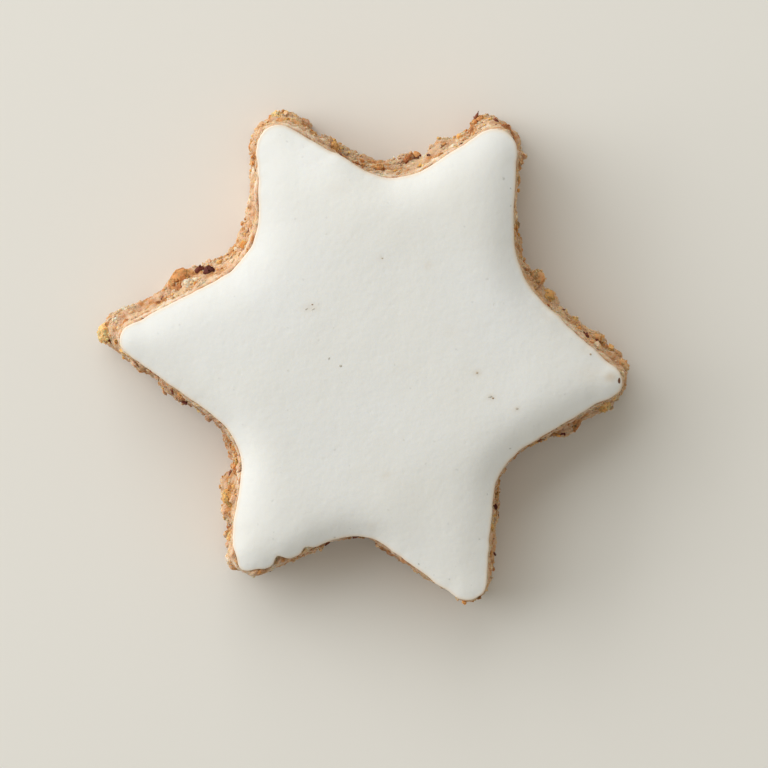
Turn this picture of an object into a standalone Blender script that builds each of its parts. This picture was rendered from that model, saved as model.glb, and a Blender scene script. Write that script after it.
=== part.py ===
"""Cinnamon star cookie: a six-pointed nut dough base under a layer of meringue icing.

Metres, +Z up. The cookie lies flat on z = 0, with its box centred on X and Y.
Both layers follow one cutter outline, given by twelve rounded corners. The icing ends there
in a soft shoulder. The dough runs a little past it, spreads towards its foot and is lumpy
where pieces of nut stand out.
"""

from math import atan2, cos, hypot, pi, sin, tau

import bmesh
import bpy
import numpy as np

MM = 0.001

# The cutter outline's corners in mm, anticlockwise: x, y, the radius that rounds the corner,
# and how far the dough's foot stands out past the icing there.
CORNERS = (
    (26.3, -2.2, 1.5, 0.8),  # right tip
    (14.3, 8.9, 10.0, 0.5),
    (14.8, 25.2, 2.1, 0.5),  # upper right tip
    (2.4, 17.5, 6.4, 0.9),
    (-11.4, 25.7, 2.3, 0.7),  # upper left tip
    (-10.9, 10.5, 8.0, 1.4),
    (-26.6, 2.5, 1.7, 0.8),  # left tip
    (-12.3, -7.9, 7.0, 1.1),
    (-14.7, -23.1, 2.2, 0.5),  # lower left tip
    (-1.0, -16.6, 5.7, 0.8),
    (11.5, -25.7, 1.9, 0.7),  # lower right tip
    (12.6, -10.3, 7.4, 0.5),
)

# Lumps of nut in the dough's side in mm: x, y, height above the floor, how far the lump
# stands out, and its half-width.
LUMPS = (
    (-18.0, 6.9, 3.4, 1.1, 2.3),  # the large one on the left arm
    (-21.8, 4.9, 2.2, 0.55, 2.2),
    (-24.3, 3.6, 2.0, 0.5, 1.1),
    (-25.3, 2.0, 1.6, 1.2, 0.8),  # the foot of the left tip
    (-7.4, 23.4, 2.4, 0.6, 1.9),
    (-4.1, 21.3, 2.8, 0.3, 0.9),
    (3.4, 18.7, 2.8, 0.95, 1.5),
    (9.6, 21.9, 2.4, 0.5, 1.9),
    (11.9, 23.4, 2.4, 0.4, 1.2),
    (-11.4, 13.2, 3.0, 0.3, 1.8),
    (-19.1, -3.0, 3.2, 0.6, 1.2),
    (-13.4, -8.5, 2.6, 0.4, 1.2),
    (-13.2, -13.2, 2.6, 0.9, 1.5),
    (2.4, -19.1, 2.4, 0.4, 1.2),
    (11.9, -19.6, 2.6, 0.35, 1.6),
    (12.3, -14.1, 2.6, 0.4, 0.9),
    (18.2, -7.0, 3.0, 0.8, 2.3),
    (23.6, -3.8, 2.8, 0.9, 1.0),
    (24.7, -0.8, 2.6, 0.4, 0.9),
    (22.5, 1.3, 2.6, 1.0, 1.9),
    (18.9, 4.7, 2.4, 0.35, 1.0),
    (17.4, 6.0, 2.4, 0.5, 0.8),
    (15.9, 7.7, 3.2, 1.0, 1.1),
)

ARC_STEPS = 7
FLANK_STEPS = 6

DOUGH_HEIGHT = 8.0 * MM
DOUGH_LEVELS = tuple(z * MM for z in (0.0, 0.15, 0.5, 1.3, 2.4, 3.6, 4.8, 6.0, 7.0, 7.6, 8.0))
FOOT_HEIGHT = 2.2 * MM  # the spread is whole up to here
COLLAR_HEIGHT = 6.6 * MM  # and down to the collar's from here
COLLAR_SPREAD = 0.35  # share of the foot's spread left under the icing
FOOT_EDGE = 0.5 * MM  # rounding of the bottom edge
TOP_EDGE = 0.4 * MM
LUMP_HALF_HEIGHT = 1.8 * MM
UNEVENNESS = 0.18 * MM
WAVES = ((11, 0.4, 1.0), (23, 2.1, 0.8), (37, 4.4, 0.6))  # count, phase, share of the unevenness
WAVE_LEAN = 420.0  # radians of phase per metre of height, so that bumps don't run straight up

GAP = 0.3 * MM  # clearance between the dough's top and the icing
ICING_THICKNESS = 1.7 * MM
ICING_RIM = 0.3 * MM  # height of the icing's widest line above its underside
ICING_UNDERCUT = 0.25 * MM
ICING_SHOULDER = 3.2 * MM  # distance over which the icing rises to its level top
ICING_CROWN = 0.2 * MM  # further rise towards the middle
CROWN_REACH = 10.0 * MM
SHOULDER_INSETS = tuple(d * MM for d in (0.06, 0.25, 0.6, 1.1))
TOP_SHARES = (0.94, 0.86, 0.75, 0.6, 0.4, 0.2)  # rings of the top, as shares of the last inset

DOUGH_COLOUR = (0.54, 0.27, 0.14, 1.0)
DOUGH_ROUGHNESS = 0.85
ICING_COLOUR = (0.87, 0.86, 0.82, 1.0)
ICING_ROUGHNESS = 0.6
SHARP_ANGLE = pi / 4  # edges steeper than this are shaded sharp


def unit(x, y):
    """The direction of (x, y)."""
    length = hypot(x, y)
    return x / length, y / length


def corner_arc(before, corner, after):
    """Points along the arc that rounds a corner of the outline, in mm."""
    ax, ay = unit(before[0] - corner[0], before[1] - corner[1])
    bx, by = unit(after[0] - corner[0], after[1] - corner[1])
    half = 0.5 * (pi - abs(pi - abs(atan2(ay, ax) - atan2(by, bx))))
    mx, my = unit(ax + bx, ay + by)
    radius = corner[2]
    centre_x = corner[0] + mx * radius / sin(half)
    centre_y = corner[1] + my * radius / sin(half)
    middle = atan2(-my, -mx)
    turn = pi / 2 - half
    side = 1.0 if ax * by - ay * bx < 0 else -1.0
    angles = middle + side * turn * np.linspace(-1.0, 1.0, ARC_STEPS + 1)
    return np.column_stack((centre_x + radius * np.cos(angles), centre_y + radius * np.sin(angles)))


def cutter_outline():
    """The outline's points in metres, and the foot's spread at each."""
    count = len(CORNERS)
    arcs = [corner_arc(CORNERS[k - 1], CORNERS[k], CORNERS[(k + 1) % count]) for k in range(count)]
    points = []
    spreads = []
    for k in range(count):
        after = (k + 1) % count
        points.extend(arcs[k])
        spreads.extend([CORNERS[k][3]] * len(arcs[k]))
        for step in range(1, FLANK_STEPS):
            share = step / FLANK_STEPS
            eased = 0.5 - 0.5 * cos(pi * share)
            points.append(arcs[k][-1] * (1 - share) + arcs[after][0] * share)
            spreads.append(CORNERS[k][3] * (1 - eased) + CORNERS[after][3] * eased)
    return np.array(points) * MM, np.array(spreads) * MM


def outward(outline):
    """The outline's unit normals, pointing out of the star."""
    along = np.roll(outline, -1, axis=0) - np.roll(outline, 1, axis=0)
    normals = np.column_stack((along[:, 1], -along[:, 0]))
    return normals / np.linalg.norm(normals, axis=1, keepdims=True)


def edge_inset(depth, radius):
    """How far a rounded edge draws in at a depth from its face."""
    if depth >= radius:
        return 0.0
    return radius - (radius**2 - (radius - depth) ** 2) ** 0.5


def spread_share(z):
    """Share of the foot's spread at a height: whole at the foot, easing off to the collar."""
    fall = np.clip((z - FOOT_HEIGHT) / (COLLAR_HEIGHT - FOOT_HEIGHT), 0.0, 1.0)
    return 1.0 - (1.0 - COLLAR_SPREAD) * fall * fall * (3.0 - 2.0 * fall)


def lumpiness(outline, z):
    """How far nut lumps and small waves push the dough's side out at a height."""
    round_angle = np.arange(len(outline)) / len(outline) * tau
    out = np.zeros(len(outline))
    for count, phase, share in WAVES:
        wave = np.sin(count * round_angle + phase + WAVE_LEAN * z)
        out = out + UNEVENNESS * share * spread_share(z) * wave
    for x, y, height, reach, width in LUMPS:
        away = np.linalg.norm(outline - np.array((x, y)) * MM, axis=1)
        near = np.exp(-((away - away.min()) / (width * MM)) ** 2)
        level = np.exp(-(((z - height * MM) / LUMP_HALF_HEIGHT) ** 2))
        out = out + reach * MM * near * level
    return out


def dough_rings(outline, spreads):
    """The dough's level sections from the floor to its top."""
    normals = outward(outline)
    rings = []
    for z in DOUGH_LEVELS:
        out = spreads * spread_share(z) + lumpiness(outline, z)
        out = out - edge_inset(z, FOOT_EDGE) - edge_inset(DOUGH_HEIGHT - z, TOP_EDGE)
        section = outline + normals * out[:, None]
        rings.append(np.column_stack((section, np.full(len(section), z))))
    return rings


def distance_inside(points, outline):
    """The distance from each point to the outline's nearest segment."""
    start = outline[None, :, :]
    along = np.roll(outline, -1, axis=0)[None, :, :] - start
    reach = points[:, None, :] - start
    share = np.clip((reach * along).sum(2) / (along**2).sum(2), 0.0, 1.0)
    return np.linalg.norm(reach - along * share[:, :, None], axis=2).min(1)


def icing_height(inside):
    """The icing's top above its underside, by the distance inside its outline."""
    rise = np.clip(1.0 - inside / ICING_SHOULDER, 0.0, 1.0)
    shoulder = (1.0 - rise**2) ** 0.5
    crown = ICING_CROWN * np.clip(inside / CROWN_REACH, 0.0, 1.0)
    return ICING_RIM + (ICING_THICKNESS - ICING_RIM) * shoulder + crown


def icing_rings(outline):
    """The icing's rings, from its underside round the rim and inwards over its top."""
    normals = outward(outline)
    underside = DOUGH_HEIGHT + GAP
    level = np.full(len(outline), underside)
    rings = [
        np.column_stack((outline - normals * ICING_UNDERCUT, level)),
        np.column_stack((outline, level + ICING_RIM)),
    ]
    tops = [outline - normals * inset for inset in SHOULDER_INSETS]
    tops += [tops[-1] * share for share in TOP_SHARES]
    for top in tops:
        heights = underside + icing_height(distance_inside(top, outline))
        rings.append(np.column_stack((top, heights)))
    return rings


def material(name, colour, roughness):
    """A Principled material of one colour."""
    result = bpy.data.materials.new(name)
    result.use_nodes = True
    shader = result.node_tree.nodes["Principled BSDF"]
    shader.inputs["Base Color"].default_value = colour
    shader.inputs["Roughness"].default_value = roughness
    shader.inputs["Metallic"].default_value = 0.0
    return result


def closed_body(name, rings, surface):
    """One closed body: rings of equal length joined in turn, with a fan over each end."""
    mesh = bpy.data.meshes.new(name)
    bm = bmesh.new()
    loops = [[bm.verts.new(point) for point in ring] for ring in rings]
    count = len(rings[0])
    for lower, upper in zip(loops, loops[1:]):
        for i in range(count):
            j = (i + 1) % count
            bm.faces.new((lower[i], lower[j], upper[j], upper[i]))
    bottom = bm.verts.new(rings[0].mean(0))
    top = bm.verts.new(rings[-1].mean(0))
    for i in range(count):
        j = (i + 1) % count
        bm.faces.new((bottom, loops[0][j], loops[0][i]))
        bm.faces.new((top, loops[-1][i], loops[-1][j]))
    bm.to_mesh(mesh)
    bm.free()
    mesh.materials.append(surface)
    mesh.shade_smooth()
    mesh.set_sharp_from_angle(angle=SHARP_ANGLE)
    body = bpy.data.objects.new(name, mesh)
    bpy.context.scene.collection.objects.link(body)
    return body


def main():
    for thing in list(bpy.data.objects):
        bpy.data.objects.remove(thing)

    outline, spreads = cutter_outline()
    dough = dough_rings(outline, spreads)
    icing = icing_rings(outline)

    sections = np.concatenate(dough)
    middle = 0.5 * (sections.min(0) + sections.max(0))
    middle[2] = 0.0
    crumb = material("dough", DOUGH_COLOUR, DOUGH_ROUGHNESS)
    meringue = material("icing", ICING_COLOUR, ICING_ROUGHNESS)
    closed_body("dough", [ring - middle for ring in dough], crumb)
    closed_body("icing", [ring - middle for ring in icing], meringue)


main()
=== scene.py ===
from itertools import product

import bpy
import numpy as np
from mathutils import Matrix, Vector


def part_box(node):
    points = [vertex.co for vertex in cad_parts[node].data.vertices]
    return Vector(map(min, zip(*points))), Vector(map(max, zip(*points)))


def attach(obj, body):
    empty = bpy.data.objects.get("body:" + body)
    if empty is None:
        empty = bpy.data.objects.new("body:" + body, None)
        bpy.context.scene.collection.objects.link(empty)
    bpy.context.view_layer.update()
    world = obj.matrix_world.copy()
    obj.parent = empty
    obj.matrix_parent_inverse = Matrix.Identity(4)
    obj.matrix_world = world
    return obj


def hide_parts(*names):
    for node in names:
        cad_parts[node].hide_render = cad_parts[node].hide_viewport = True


# Cinnamon star cookie: a crumbly nut dough under a layer of meringue icing.
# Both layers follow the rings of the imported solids. Lengths below are in mm unless a line says
# otherwise, and become metres when a mesh is made.

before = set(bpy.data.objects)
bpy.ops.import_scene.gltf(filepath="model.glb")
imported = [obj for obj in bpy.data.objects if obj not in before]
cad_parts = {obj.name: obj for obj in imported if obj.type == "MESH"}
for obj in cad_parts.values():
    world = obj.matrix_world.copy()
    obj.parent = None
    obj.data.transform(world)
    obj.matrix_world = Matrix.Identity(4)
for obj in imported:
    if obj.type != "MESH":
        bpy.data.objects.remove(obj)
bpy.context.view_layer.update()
scene = bpy.context.scene

mm = 0.001
fullTurn = 2 * np.pi


def srgb(red, green, blue):
    # the linear colour for three 0-255 screen values
    share = np.array((red, green, blue)) / 255
    linear = np.where(share <= 0.04045, share / 12.92, ((share + 0.055) / 1.055) ** 2.4)
    return (*linear.tolist(), 1.0)


# curves and rings

def ringLevels(nodeName, fewest=90, hub=3.0):
    # the solid's level sections that are whole rings, lowest first, in mm: a list of heights
    # and a list of rings, each running anticlockwise by angle. A point nearer to the middle
    # than the hub is the middle of an end face, and is left out
    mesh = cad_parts[nodeName].data
    flat = np.empty(len(mesh.vertices) * 3, np.float32)
    mesh.vertices.foreach_get("co", flat)
    points = np.unique((flat.reshape(-1, 3) / mm).round(3), axis=0)
    points = points[np.hypot(points[:, 0], points[:, 1]) > hub]
    heights, rings = [], []
    for height in np.unique(points[:, 2]):
        ring = points[points[:, 2] == height]
        if len(ring) >= fewest:
            heights.append(height)
            rings.append(ring[np.argsort(np.arctan2(ring[:, 1], ring[:, 0])), :2])
    print(f"{nodeName}: {len(rings)} rings read")
    return heights, rings


def splitLong(points, longest=1.5):
    # a closed loop with its longer chords cut into equal parts, which keeps straight stretches
    # straight when it is smoothed
    chords = np.roll(points, -1, axis=0) - points
    parts = np.ceil(np.linalg.norm(chords, axis=1) / longest).astype(int)
    start = np.repeat(np.arange(len(points)), parts)
    share = (np.arange(len(start)) - np.repeat(np.cumsum(parts) - parts, parts)) / parts[start]
    return points[start] + chords[start] * share[:, None]


def smoothLoop(points, count, cuts=16):
    # a smooth closed curve through the points, cut at equal lengths: between two points it is
    # the cubic that has the three-point slope at both, with the chord as its parameter
    points = splitLong(points)
    ahead = np.roll(points, -1, axis=0)
    chord = np.linalg.norm(ahead - points, axis=1)[:, None]
    step = (ahead - points) / chord
    chordBefore = np.roll(chord, 1, axis=0)
    slope = (step * chordBefore + np.roll(step, 1, axis=0) * chord) / (chord + chordBefore)
    slopeAhead = np.roll(slope, -1, axis=0)
    t = np.linspace(0, 1, cuts, endpoint=False)[:, None, None]
    dense = ((2 * t**3 - 3 * t**2 + 1) * points + (t**3 - 2 * t**2 + t) * chord * slope
             + (3 * t**2 - 2 * t**3) * ahead + (t**3 - t**2) * chord * slopeAhead)
    dense = dense.transpose(1, 0, 2).reshape(-1, 2)
    closed = np.vstack((dense, dense[:1]))
    length = np.concatenate(([0], np.cumsum(np.linalg.norm(np.diff(closed, axis=0), axis=1))))
    places = np.linspace(0, length[-1], count, endpoint=False)
    return np.column_stack([np.interp(places, length, closed[:, axis]) for axis in (0, 1)])


def loopNormals(loop):
    # unit normals of a closed anticlockwise loop, pointing out: the chord between a point's
    # two neighbours, turned a quarter clockwise
    along = np.roll(loop, -1, axis=0) - np.roll(loop, 1, axis=0)
    normals = np.column_stack((along[:, 1], -along[:, 0]))
    return normals / np.linalg.norm(normals, axis=1, keepdims=True)


def gridNormals(rows):
    # outward unit normals of rings that run anticlockwise and upward: the chord along the
    # ring crossed with the chord up the side
    along = np.roll(rows, -1, axis=1) - np.roll(rows, 1, axis=1)
    up = np.gradient(rows, axis=0)
    normals = np.cross(along, up)
    return normals / np.linalg.norm(normals, axis=-1, keepdims=True)


def radiusAt(loop, angles):
    # a loop's distance from the centre at each angle
    own = np.arctan2(loop[:, 1], loop[:, 0])
    order = np.argsort(own)
    return np.interp(angles, own[order], np.hypot(*loop.T)[order], period=fullTurn)


def roundRows(radii, angles, heights):
    # rings of points from their distances from the centre, their angles and their heights
    x, y = radii * np.cos(angles), radii * np.sin(angles)
    return np.stack((x, y, np.broadcast_to(heights[:, None], x.shape)), axis=-1)


def degreesRound(points):
    # each point's angle round the cookie, in degrees from +x
    return np.degrees(np.arctan2(points[..., 1], points[..., 0]))


def degreesOff(angles, middle):
    # how far each angle lies from the middle one, from -180 to 180 degrees
    return (angles - middle + 180) % 360 - 180


def farFrom(points, x, y):
    # each point's distance from a place, seen from above
    return np.hypot(points[..., 0] - x, points[..., 1] - y)


def ease(value, start, end):
    # 0 before start, 1 after end, and 3t^2 - 2t^3 between
    t = np.clip((value - start) / (end - start), 0.0, 1.0)
    return t * t * (3 - 2 * t)


def bell(distance, reach):
    # exp(-(distance / reach)^2): 1 in the middle, and fading out past the reach
    return np.exp(-((distance / reach) ** 2))


# repeatable noise

def cellRandom(cells, salt):
    # one number from 0 to 1 for each cell of a grid: its three whole numbers times three
    # primes, mixed by shifts and products
    x, y, z = np.moveaxis(cells.astype(np.int64), -1, 0)
    mixed = (x * 73856093) ^ (y * 19349663) ^ (z * 83492791) ^ (salt * 49979687)
    mixed = ((mixed ^ (mixed >> 13)) * 1274126177) & 0x7FFFFFFF
    mixed = ((mixed ^ (mixed >> 11)) * 668265263) & 0x7FFFFFFF
    return ((mixed ^ (mixed >> 15)) & 0xFFFFFF) / 0x1000000


def softNoise(points, size, salt):
    # smooth noise from -1 to 1: the random numbers of the eight cell corners round a point,
    # mixed by eased shares
    place = points / size
    home = np.floor(place)
    share = place - home
    share = share * share * (3 - 2 * share)
    total = np.zeros(points.shape[:-1])
    for corner in product((0, 1), repeat=3):
        weight = np.prod(np.where(corner, share, 1 - share), axis=-1)
        total += weight * cellRandom(home + corner, salt)
    return 2 * total - 1


def layeredNoise(points, layers):
    # soft noises added up, each with its size, its amount and its salt
    return sum(amount * softNoise(points, size, salt) for size, amount, salt in layers)


def grains(points, size, salt, stray=0.85, reach=0.85, seamWidth=0.16):
    # packed grains, one to a grid cell and each straying from its cell's middle: how domed the
    # nearest grain is at the point, from 1 at its middle to 0 at its reach, how close the seam
    # between two grains is, from 1 on it to 0, and the grain's own number from 0 to 1
    place = points / size
    home = np.floor(place)
    nearest = np.full(points.shape[:-1], 9.0)
    second = nearest.copy()
    own = np.zeros(points.shape[:-1])
    for step in product((-1, 0, 1), repeat=3):
        cell = home + step
        off = np.stack([cellRandom(cell, salt + axis) for axis in (1, 2, 3)], axis=-1)
        away = np.linalg.norm(place - cell - 0.5 - stray * (off - 0.5), axis=-1)
        closer = away < nearest
        second = np.where(closer, nearest, np.minimum(second, away))
        own = np.where(closer, cellRandom(cell, salt), own)
        nearest = np.minimum(nearest, away)
    dome = np.sqrt(1 - np.clip(nearest / reach, 0, 1) ** 2)
    return dome, bell(second - nearest, seamWidth), own


def grainTones(own):
    # a grain's number, reshuffled so that its tone doesn't follow how far it stands out
    return (own * 7.31) % 1.0


# meshes

def addObject(name, data):
    thing = bpy.data.objects.new(name, data)
    scene.collection.objects.link(thing)
    return thing


def smoothMesh(name, points, faces, material):
    # a smooth mesh from points in metres
    mesh = bpy.data.meshes.new(name)
    mesh.from_pydata(points.tolist(), [], faces)
    mesh.materials.append(material)
    mesh.shade_smooth()
    return mesh


def addPiece(name, points, faces, material, masks, sharpAngle=None):
    # one finished piece from points in mm: its mesh, its masks as attributes, its material,
    # and the body it rides on
    mesh = smoothMesh(name, points * mm, faces, material)
    for label, values in masks.items():
        attribute = mesh.attributes.new(label, "FLOAT", "POINT")
        attribute.data.foreach_set("value", values.astype(np.float32))
    if sharpAngle is not None:
        mesh.set_sharp_from_angle(angle=sharpAngle)
    mesh.validate()
    piece = addObject(name, mesh)
    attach(piece, "root")
    print(f"{name}: {sum(len(face) - 2 for face in faces)} triangles")
    return piece


def ringQuads(rows, columns):
    # quads between each ring of points and the next
    here = np.arange(columns)
    ahead = (here + 1) % columns
    start = np.arange(rows - 1)[:, None] * columns
    corners = (start + here, start + ahead, start + ahead + columns, start + here + columns)
    return np.stack(corners, axis=-1).reshape(-1, 4).tolist()


def poleFan(pole, ring):
    # triangles from a pole to each side of a ring of point numbers
    return np.column_stack((np.full(len(ring), pole), ring, np.roll(ring, -1))).tolist()


def closedSkin(rows, columns):
    # the faces of a body made of rings from one pole to the other: the two poles' points
    # follow those of the rings
    first = np.arange(columns)
    last = (rows - 1) * columns + first
    return (ringQuads(rows, columns) + poleFan(rows * columns, first[::-1])
            + poleFan(rows * columns + 1, last))


def addSkin(name, rows, material, masks):
    # a piece made of rings, closed by a pole in the middle of the first and of the last one
    points = np.vstack((rows.reshape(-1, 3), rows[0].mean(0), rows[-1].mean(0)))
    masks = {label: np.concatenate((mask.ravel(), [mask[0].mean(), mask[-1].mean()]))
             for label, mask in masks.items()}
    return addPiece(name, points, closedSkin(*rows.shape[:2]), material, masks)


# nodes

def setInputs(tree, node, inputs):
    # a node's inputs by name or number: a socket is linked to, and anything else is a value.
    # Gives the node's outputs
    for label, value in inputs.items():
        if isinstance(value, bpy.types.NodeSocket):
            tree.links.new(value, node.inputs[label])
        else:
            node.inputs[label].default_value = value
    return node.outputs


def addNode(tree, kind, inputs, **settings):
    node = tree.nodes.new(kind)
    for label, value in settings.items():
        setattr(node, label, value)
    return setInputs(tree, node, inputs)


def mathNode(tree, operation, *values, clamp=False):
    return addNode(tree, "ShaderNodeMath", dict(enumerate(values)), operation=operation,
                   use_clamp=clamp)[0]


def noiseNode(tree, place, scale, detail, roughness=0.5):
    # soft noise from 0 to 1, its scale in waves per metre
    return addNode(tree, "ShaderNodeTexNoise", {
        "Vector": place, "Scale": scale, "Detail": detail, "Roughness": roughness})[0]


def easeNode(tree, value, start, end):
    # 0 where the value is at the start, 1 at the end, and eased between
    return addNode(tree, "ShaderNodeMapRange", {
        "Value": value, "From Min": start, "From Max": end}, interpolation_type="SMOOTHSTEP")[0]


def maskNode(tree, label):
    return addNode(tree, "ShaderNodeAttribute", {}, attribute_name=label)["Fac"]


def mixColour(tree, share, first, second, blend="MIX"):
    return addNode(tree, "ShaderNodeMix", {0: share, 6: first, 7: second}, data_type="RGBA",
                   blend_type=blend)[2]


def tint(tree, colour, mask, strength, other, blend="MIX"):
    # the colour, mixed towards another by the mask times the strength
    return mixColour(tree, mathNode(tree, "MULTIPLY", mask, strength), colour, other, blend)


def rampColours(tree, share, stops):
    # a colour ramp through (position, colour) stops
    colour = addNode(tree, "ShaderNodeValToRGB", {"Fac": share})["Color"]
    ramp = colour.node.color_ramp
    while len(ramp.elements) < len(stops):
        ramp.elements.new(1.0)
    for element, (position, value) in zip(ramp.elements, stops):
        element.position = position
        element.color = value
    return colour


def newGroup(name, values, output):
    # a shader group that takes a place and some values and puts out one value: its tree, the
    # sockets of its inputs, and the socket of its output
    tree = bpy.data.node_groups.new(name, "ShaderNodeTree")
    tree.interface.new_socket(name="Place", in_out="INPUT", socket_type="NodeSocketVector")
    for label, value in values.items():
        socket = tree.interface.new_socket(name=label, in_out="INPUT", socket_type="NodeSocketFloat")
        socket.default_value = value
    tree.interface.new_socket(name=output, in_out="OUTPUT", socket_type="NodeSocketFloat")
    given = tree.nodes.new("NodeGroupInput").outputs
    return tree, given, tree.nodes.new("NodeGroupOutput").inputs[output]


def makeSpeckGroup(wobbles=3500.0, wobbleReach=0.00025, smallest=0.35):
    # scattered specks: of the cells of a given size, a share holds one speck each, whose size
    # varies and whose outline wobbles, by so many wobbles per metre and a reach in metres
    tree, given, mask = newGroup("scatteredSpecks", {
        "Cells per metre": 500.0, "Share": 0.1, "Size": 0.3, "Softness": 0.4}, "Mask")
    wobble = addNode(tree, "ShaderNodeTexNoise", {
        "Vector": given["Place"], "Scale": wobbles, "Detail": 1.0})["Color"]
    off = addNode(tree, "ShaderNodeVectorMath", {0: wobble, "Scale": wobbleReach},
                  operation="SCALE")[0]
    moved = addNode(tree, "ShaderNodeVectorMath", {0: given["Place"], 1: off})[0]
    cells = addNode(tree, "ShaderNodeTexVoronoi", {
        "Vector": moved, "Scale": given["Cells per metre"]})
    own = addNode(tree, "ShaderNodeSeparateColor", {0: cells["Color"]})
    chosen = mathNode(tree, "LESS_THAN", own[0], given["Share"])
    reach = mathNode(tree, "MULTIPLY", given["Size"], mathNode(tree, "ADD", own[1], smallest))
    inner = mathNode(tree, "MULTIPLY", reach, mathNode(tree, "SUBTRACT", 1.0, given["Softness"]))
    speck = easeNode(tree, cells["Distance"], reach, inner)
    tree.links.new(mathNode(tree, "MULTIPLY", chosen, speck), mask)
    return tree


def makeGritGroup(pitEdge=0.35, pitFloor=0.05):
    # grit: fine noise with small pits let into it, as a height. The edge and the floor of a pit
    # are so far from its middle, in cells
    tree, given, height = newGroup("gritRelief", {
        "Grit per metre": 4000.0, "Pits per metre": 2500.0, "Pit depth": 0.5}, "Height")
    noise = noiseNode(tree, given["Place"], given["Grit per metre"], detail=3.0, roughness=0.6)
    cells = addNode(tree, "ShaderNodeTexVoronoi", {
        "Vector": given["Place"], "Scale": given["Pits per metre"]})
    pit = easeNode(tree, cells["Distance"], pitEdge, pitFloor)
    low = mathNode(tree, "MULTIPLY", pit, given["Pit depth"])
    tree.links.new(mathNode(tree, "SUBTRACT", noise, low), height)
    return tree


speckGroup = makeSpeckGroup()
gritGroup = makeGritGroup()


def addSpecks(tree, place, colour, other, strength, perMetre, share, size, softness):
    # the colour with specks of another mixed in: how strong they are, how many cells there are
    # to a metre, the share of them that hold a speck, and its size and softness
    mask = addNode(tree, "ShaderNodeGroup", {
        "Place": place, "Cells per metre": perMetre, "Share": share, "Size": size,
        "Softness": softness}, node_tree=speckGroup)["Mask"]
    return tint(tree, colour, mask, strength, other)


def startMaterial(name, roughness, specular, subsurface=0.0, reach=(1.0, 0.5, 0.3), scale=0.0005):
    # a Principled material with its even values set: its tree, shader and object coordinates
    material = bpy.data.materials.new(name)
    material.use_nodes = True
    tree = material.node_tree
    shader = tree.nodes["Principled BSDF"]
    setInputs(tree, shader, {
        "Roughness": roughness, "Specular IOR Level": specular, "Subsurface Weight": subsurface,
        "Subsurface Radius": reach, "Subsurface Scale": scale})
    place = tree.nodes.new("ShaderNodeTexCoord").outputs["Object"]
    return material, tree, shader, place


def finishShader(tree, shader, colour, place, grit, pits, pitDepth, relief, strength, extra=0.0):
    # the shader's colour, and its fine relief: grit and pits to a metre, how deep a pit is, the
    # relief in metres and its strength, and a height that is added to the grit's
    height = addNode(tree, "ShaderNodeGroup", {
        "Place": place, "Grit per metre": grit, "Pits per metre": pits,
        "Pit depth": pitDepth}, node_tree=gritGroup)["Height"]
    normal = addNode(tree, "ShaderNodeBump", {
        "Height": mathNode(tree, "ADD", height, extra), "Distance": relief,
        "Strength": strength})[0]
    setInputs(tree, shader, {"Base Color": colour, "Normal": normal})


# the dough

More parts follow.
